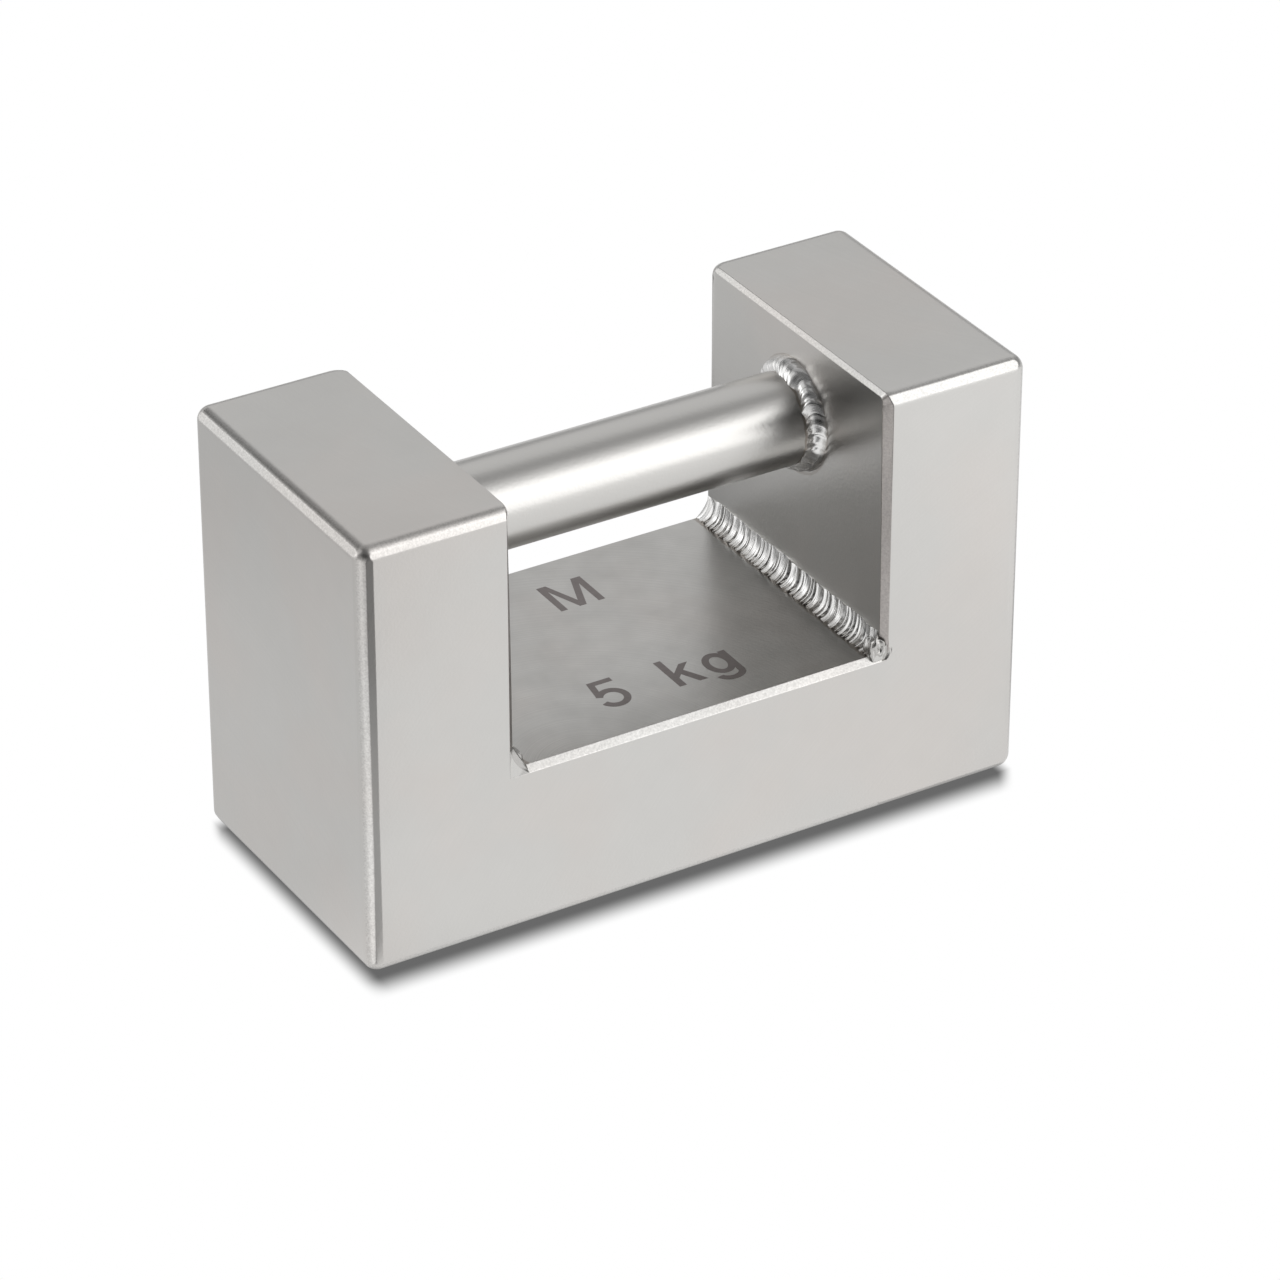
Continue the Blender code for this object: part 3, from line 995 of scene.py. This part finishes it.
def marked_steel():
    """Marks: a dark annealed layer, flush with the ground face."""
    shader = Shader("dark_mark", MARK_COLOUR, MARK_ROUGHNESS)
    fade = shader.noise(shader.place(), MARK_FADE_SCALE)
    lighter = tuple(MARK_LIGHTER * part for part in MARK_COLOUR)
    shader.set("Base Color", shader.blend(fade, MARK_COLOUR, lighter))
    return shader.material


# Marks

MARK_THICKNESS = 0.012 * MM
MARK_LAYER_STEP = 0.003 * MM
# Width of a stroke in millimetres, and the steps of its arcs
STROKE = 1.5
ARC_STEPS = 28
RING_STEPS = 48


def arc(centre, radii, start, end, steps=ARC_STEPS):
    """A stroke along an ellipse, as one closed outline. Angles are in degrees."""
    outer = []
    inner = []
    for step in range(steps + 1):
        angle = math.radians(start + (end - start) * step / steps)
        away = Vector((math.cos(angle), math.sin(angle)))
        outer.append((centre[0] + radii[0] * away.x, centre[1] + radii[1] * away.y))
        inner.append((centre[0] + (radii[0] - STROKE) * away.x, centre[1] + (radii[1] - STROKE) * away.y))
    return outer + inner[::-1]


def glyph_outlines():
    """Outlines in millimetres of the characters used, from the left end of the baseline."""
    return {
        "M": [[
            (0, 0), (0, 10.2), (2.15, 10.2), (5.05, 2.3), (7.95, 10.2), (10.1, 10.2), (10.1, 0),
            (8.6, 0), (8.6, 7.9), (5.8, 0), (4.3, 0), (1.5, 7.9), (1.5, 0),
        ]],
        "5": [
            [(1.25, 10.2), (6.5, 10.2), (6.5, 8.8), (2.45, 8.8), (1.85, 5.2), (0.4, 4.75)],
            arc((3.45, 3.3), (3.5, 3.5), 155, -158),
        ],
        "k": [
            [(0, 0), (0, 10.3), (1.6, 10.3), (1.6, 0)],
            [(1.6, 2.9), (1.6, 4.9), (4.1, 7.5), (6.1, 7.5)],
            [(2.5, 4.3), (3.7, 5.4), (6.5, 0), (4.6, 0)],
        ],
        "g": [
            arc((3.1, 3.8), (3.1, 3.95), 0, 360, RING_STEPS),
            [(5.0, 7.6), (6.6, 7.6), (6.6, -0.3), (5.1, -0.3)],
            arc((3.35, -0.3), (3.25, 2.65), 0, -172),
        ],
    }


# The left end of each character's baseline on the base, in millimetres
MARK_PLACES = {
    "class_mark": [("M", -3.86, 13.8)],
    "value_mark": [("5", -15.2, -22.95), ("k", 1.36, -22.95), ("g", 9.36, -22.95)],
}


def marks(material):
    """Thin layers on the base, one for each stroke, each a little higher than the one before."""
    outlines = glyph_outlines()
    for name, letters in MARK_PLACES.items():
        bm = bmesh.new()
        for letter, left, foot in letters:
            for layer, outline in enumerate(outlines[letter]):
                verts = [
                    bm.verts.new(((left + x) * MM, (foot + y) * MM, BASE_Z - MARK_THICKNESS))
                    for x, y in outline
                ]
                face = bm.faces.new(verts)
                raised = bmesh.ops.extrude_face_region(bm, geom=[face])
                top = [item for item in raised["geom"] if isinstance(item, bmesh.types.BMVert)]
                height = 2 * MARK_THICKNESS + layer * MARK_LAYER_STEP
                bmesh.ops.translate(bm, vec=(0, 0, height), verts=top)
        bmesh.ops.triangulate(bm, faces=bm.faces)
        add_piece(name, bm, material)


# Studio

def camera():
    back = Vector((
        math.sin(CAMERA_AZIMUTH) * math.cos(CAMERA_ELEVATION),
        -math.cos(CAMERA_AZIMUTH) * math.cos(CAMERA_ELEVATION),
        math.sin(CAMERA_ELEVATION),
    ))
    lens = bpy.data.cameras.new("camera")
    lens.lens = CAMERA_LENS
    lens.sensor_width = CAMERA_SENSOR
    lens.clip_start = CAMERA_NEAR
    view = bpy.data.objects.new("camera", lens)
    view.location = CAMERA_TARGET + CAMERA_DISTANCE * back
    view.rotation_euler = back.to_track_quat("Z", "Y").to_euler()
    bpy.context.scene.collection.objects.link(view)
    bpy.context.scene.camera = view


FLOOR_RADIUS = 6.0
FLOOR_SIDES = 96
FLOOR_DROP = 0.1 * MM
FLOOR_COLOUR = (0.8, 0.8, 0.8)
FLOOR_ROUGHNESS = 1.0
# Brightness of the floor in reflections. Azimuths are in degrees from +X towards +Y. A spread is
# the cosine off an azimuth where a tone starts to come in, and where it is full.
FLOOR_SIDE_LEVEL = 0.78
FLOOR_FRONT_LEVEL = 1.03
FLOOR_FRONT_AZIMUTH = -85
FLOOR_FRONT_SPREAD = (-0.2, 0.7)
DARK_CORNER_AZIMUTH = 45
DARK_CORNER_SPREAD = (0.35, 0.85)
DARK_CORNER_SHARE = 0.70
DARK_CORNER_END = (110 * MM, 200 * MM)
# The floor further right is a little brighter: where that starts and ends, and the tone it adds
FAR_RIGHT = (95 * MM, 150 * MM, 0.09)
# From the foot of the left front corner: a dark wedge of floor that opens towards the front, and
# a bright one beside it. Azimuth, half width and soft edge in degrees, and the tone they add.
WEDGE_TIP = Vector((-73.9, -33.4, 0.0)) * MM
DARK_WEDGE = (263, 20, 6, -0.62)
BRIGHT_WEDGE = (226, 22, 20, 0.34)
# The same for the floor further out: dark on the camera's side, and a little darker to the left
FAR_DARK = (236, 26, 10, -0.60)
FAR_LEFT = (140, 30, 14, -0.11)
FAR_START = (140 * MM, 210 * MM)
LEAST_TONE = 0.12
SHADOW_LEVEL = 0.14
# Where the shadow starts to fade and where it ends, out from the left, right, front and back faces
CAST_SHADOW = ((-1.8, 3.4), (-4.2, -0.1), (-0.2, 7.7), (-6.0, -0.5))
# How far the shadow's right and back ends draw in for each millimetre away from the block
SHADOW_SLANT = (0.60, 1.66)
CONTACT_SHADOW = ((-3.0, 0.6),) * 4


def shadow(shader, x, y, fades, slants=(0.0, 0.0)):
    """The shade under the weight, which fades to one outside its four sides."""
    left_out = shader.times(x, -1.0)
    front_out = shader.times(y, -1.0)
    past_front = shader.math("MAXIMUM", shader.math("SUBTRACT", front_out, HALF_WIDTH), 0.0)
    past_left = shader.math("MAXIMUM", shader.math("SUBTRACT", left_out, UPRIGHT_HIGH.x), 0.0)
    right_out = shader.plus(x, shader.times(past_front, slants[0]))
    back_out = shader.plus(y, shader.times(past_left, slants[1]))
    outs = (left_out, right_out, front_out, back_out)
    faces = (UPRIGHT_HIGH.x, UPRIGHT_HIGH.x, HALF_WIDTH, HALF_WIDTH)
    inside = 1.0
    for out, face, (start, end) in zip(outs, faces, fades):
        fade = shader.remap(out, face + start * MM, face + end * MM, 1.0, 0.0)
        inside = shader.times(inside, fade)
    return shader.mix_value(inside, 1.0, SHADOW_LEVEL)


def floor_tone(shader, place, x):
    """The tone of the studio floor in reflections, without what the weight shades."""
    away = shader.direction(place)
    from_tip = shader.direction(shader.vector_math("SUBTRACT", place, WEDGE_TIP).outputs["Vector"])

    def towards(azimuth, way, low, high):
        turn = math.radians(azimuth)
        share = shader.dot(way, (math.cos(turn), math.sin(turn), 0.0))
        return shader.remap(share, low, high, 0.0, 1.0)

    front = towards(FLOOR_FRONT_AZIMUTH, away, *FLOOR_FRONT_SPREAD)
    tone = shader.mix_value(front, FLOOR_SIDE_LEVEL, FLOOR_FRONT_LEVEL)
    reach = shader.distance(place, (0.0, 0.0, 0.0))
    near = shader.remap(reach, *DARK_CORNER_END, 1.0, 0.0)
    corner = shader.times(towards(DARK_CORNER_AZIMUTH, away, *DARK_CORNER_SPREAD), near)
    tone = shader.times(tone, shader.mix_value(corner, 1.0, 1.0 - DARK_CORNER_SHARE))
    near_x, far_x, added = FAR_RIGHT
    tone = shader.plus(tone, shader.remap(x, near_x, far_x, 0.0, added))
    far = shader.remap(reach, *FAR_START, 0.0, 1.0)
    for (azimuth, half, edge, added), way, where in (
        (DARK_WEDGE, from_tip, 1.0), (BRIGHT_WEDGE, from_tip, 1.0),
        (FAR_DARK, away, far), (FAR_LEFT, away, far),
    ):
        outer = math.cos(math.radians(half + edge))
        inner = math.cos(math.radians(half - edge))
        tone = shader.plus(tone, shader.times(where, towards(azimuth, way, outer, inner), added))
    return shader.math("MAXIMUM", tone, LEAST_TONE)


def floor_material():
    """White to the camera with a tight soft shadow, and the tones of a studio floor in reflections."""
    shader = Shader("white_floor", FLOOR_COLOUR, FLOOR_ROUGHNESS, metallic=0.0)
    place = shader.place()
    x, y, _ = shader.parts(place)
    reflected = shader.times(floor_tone(shader, place, x), shadow(shader, x, y, CONTACT_SHADOW))
    shade = shadow(shader, x, y, CAST_SHADOW, SHADOW_SLANT)
    rays = shader.add("ShaderNodeLightPath")
    glow = shader.add("ShaderNodeEmission")
    shader.plug(glow.inputs["Strength"], shader.mix_value(rays.outputs["Is Camera Ray"], reflected, shade))
    seen = shader.math("MAXIMUM", rays.outputs["Is Camera Ray"], rays.outputs["Is Glossy Ray"])
    seen = shader.math("MAXIMUM", seen, rays.outputs["Is Transmission Ray"])
    plain = shader.surface.outputs["BSDF"]
    both = shader.add("ShaderNodeMixShader", seen, plain, glow.outputs["Emission"])
    shader.plug(shader.tree.nodes["Material Output"].inputs["Surface"], both.outputs["Shader"])
    return shader.material


def floor():
    bm = bmesh.new()
    bmesh.ops.create_circle(bm, cap_ends=True, segments=FLOOR_SIDES, radius=FLOOR_RADIUS)
    mesh = bpy.data.meshes.new("floor")
    bm.to_mesh(mesh)
    bm.free()
    mesh.materials.append(floor_material())
    plane = bpy.data.objects.new("floor", mesh)
    plane.location.z = -FLOOR_DROP
    bpy.context.scene.collection.objects.link(plane)


Softbox = namedtuple("Softbox", "azimuth elevation width height light")

# Light that soft patches of the studio add to its plain level. Azimuth is from +X towards +Y.
# Angles are in degrees as seen from the weight.
STUDIO_LEVEL = 0.40
SOFTBOX_EDGE = 5.0
# The cosine up to which a patch fades out towards the other half of the studio
SOFTBOX_BACK_FADE = 0.2
SOFTBOXES = {
    "front_right": Softbox(-55, 24, 34, 50, 1.75),
    "above_front_right": Softbox(-48, 55, 36, 16, 0.55),
    "back_right_wall": Softbox(65, 41, 70, 46, 0.38),
    "back_left_strip": Softbox(130, 11, 44, 28, 0.85),
    "left_window": Softbox(158, 12, 24, 24, 1.3),
    "above_left_window": Softbox(168, 40, 30, 38, 0.6),
    "dark_gap": Softbox(101, 42, 26, 26, -0.48),
    "dark_back_left_wall": Softbox(123, 34, 26, 26, -0.15),
    "dark_camera_side": Softbox(242, 16, 56, 44, -0.24),
    "dark_above_camera": Softbox(224, 52, 90, 56, -0.26),
}


def softbox_light(nodes, direction, box):
    """The light that one soft-edged rectangle of the studio adds."""
    turn = math.radians(box.azimuth)
    lift = math.radians(box.elevation)
    middle = Vector((math.cos(turn) * math.cos(lift), math.sin(turn) * math.cos(lift), math.sin(lift)))
    across = Vector((-math.sin(turn), math.cos(turn), 0.0))
    inside = nodes.remap(nodes.dot(direction, middle), 0.0, SOFTBOX_BACK_FADE, 0.0, 1.0)
    for axis, size in ((across, box.width), (middle.cross(across), box.height)):
        off = nodes.math("ABSOLUTE", nodes.dot(direction, axis))
        inner = math.sin(math.radians(size / 2 - SOFTBOX_EDGE))
        outer = math.sin(math.radians(size / 2 + SOFTBOX_EDGE))
        inside = nodes.times(inside, nodes.remap(off, inner, outer, 1.0, 0.0))
    return nodes.times(inside, box.light)


def studio_light():
    """A plain studio with soft boxes, white where the camera looks past the floor."""
    world = bpy.data.worlds.new("studio")
    bpy.context.scene.world = world
    world.use_nodes = True
    nodes = Nodes(world.node_tree)
    direction = nodes.add("ShaderNodeTexCoord").outputs["Generated"]
    level = STUDIO_LEVEL
    for box in SOFTBOXES.values():
        level = nodes.plus(level, softbox_light(nodes, direction, box))
    level = nodes.math("MAXIMUM", level, 0.0)
    rays = nodes.add("ShaderNodeLightPath")
    strength = nodes.mix_value(rays.outputs["Is Camera Ray"], level, 1.0)
    background = nodes.tree.nodes["Background"]
    background.inputs["Color"].default_value = (1.0, 1.0, 1.0, 1.0)
    nodes.plug(background.inputs["Strength"], strength)


def main():
    bpy.context.scene.view_settings.view_transform = "Standard"
    camera()
    steel = ground_steel()
    weld = welded_steel()
    base_block(steel)
    handle(drawn_steel())
    for side in (-1, 1):
        upright(side, steel)
        base_weld(side, BASE_WELD_SEED + side, weld)
        handle_weld(side, HANDLE_WELD_SEED + side, weld)
    marks(marked_steel())
    floor()
    studio_light()


main()
